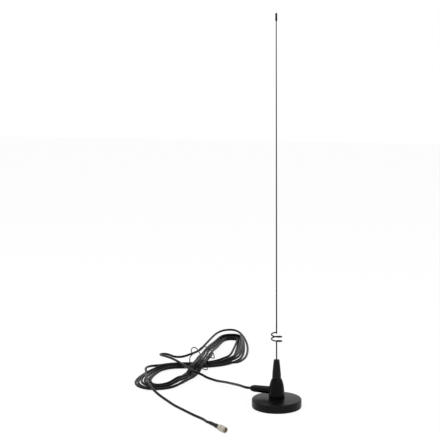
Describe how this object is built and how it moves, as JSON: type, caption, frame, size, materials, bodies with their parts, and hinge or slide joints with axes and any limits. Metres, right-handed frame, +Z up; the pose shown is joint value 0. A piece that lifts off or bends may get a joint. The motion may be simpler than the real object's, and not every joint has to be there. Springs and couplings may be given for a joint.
{
  "type": "magnetic mount antenna",
  "caption": "Whip antenna with a matching coil on a round magnetic base, with a tied hank of coaxial cable ending in a small screw-on plug.",
  "frame": {"origin": "centre of the round base's underside, on the surface it stands on", "axes": "+Z up along the whip; -X along the cable outlet on the hub's side"},
  "size_m": [0.2243, 0.3899, 0.4046],
  "materials": {
    "pad": "matte soft pad",
    "cover": "satin black, smooth",
    "pot": "zinc plated",
    "magnet": "dull grey ferrite",
    "screw": "zinc plated",
    "hub": "glossy black moulding",
    "brass": "plain turned brass",
    "relief": "matte black",
    "cable": "satin black jacket",
    "braid": "tinned braid",
    "core": "natural white",
    "seal": "matte black",
    "ferrule": "satin black",
    "grub": "blackened steel",
    "whip": "satin black coating",
    "cap": "matte black",
    "tie": "matte black",
    "sleeve": "satin black shrunk sleeve",
    "nickel": "satin nickel plate",
    "insulator": "white fluoropolymer",
    "gold": "gold plated"
  },
  "bodies": {
    "mount": {"base_pad": "pad", "base_cover": "cover", "steel_pot": "pot", "ring_magnet": "magnet", "fixing_screw": "screw", "lock_washer": "screw", "hub_body": "hub", "ground_bush": "brass", "contact_stud": "brass", "strain_relief": "relief", "cable_end": "cable", "braid_tail": "braid", "core_wire": "core", "hub_lead": "cable", "cable_hank": "cable", "hank_tie": "tie", "plug_lead": "cable", "shrink_sleeve": "sleeve", "crimp_ferrule": "nickel", "plug_body": "nickel", "plug_insulator": "insulator", "centre_pin": "gold", "retaining_ring": "brass"},
    "seal": {"seal_ring": "seal"},
    "whip": {"whip_ferrule": "ferrule", "grub_screw": "grub", "whip_wire": "whip", "tip_cap": "cap"},
    "nut": {"coupling_nut": "nickel"}
  },
  "joints": [
    {"name": "whip_lift", "type": "slide", "parent": "mount", "child": "seal", "axis": [0, 0, 1], "range_m": [0, 0.008]},
    {"name": "whip_turn", "type": "hinge", "parent": "seal", "child": "whip", "pos_m": [0, 0, 0.0301], "axis": [0, 0, 1], "range_deg": [0, 3600]},
    {"name": "nut_spin", "type": "hinge", "parent": "mount", "child": "nut", "pos_m": [-0.0204, -0.098, 0.00315], "axis": [0.809, -0.5878, 0], "continuous": true}
  ],
  "couplings": [
    {"joint": "whip_turn", "follows": "whip_lift", "rad_per_m": 7854}
  ]
}
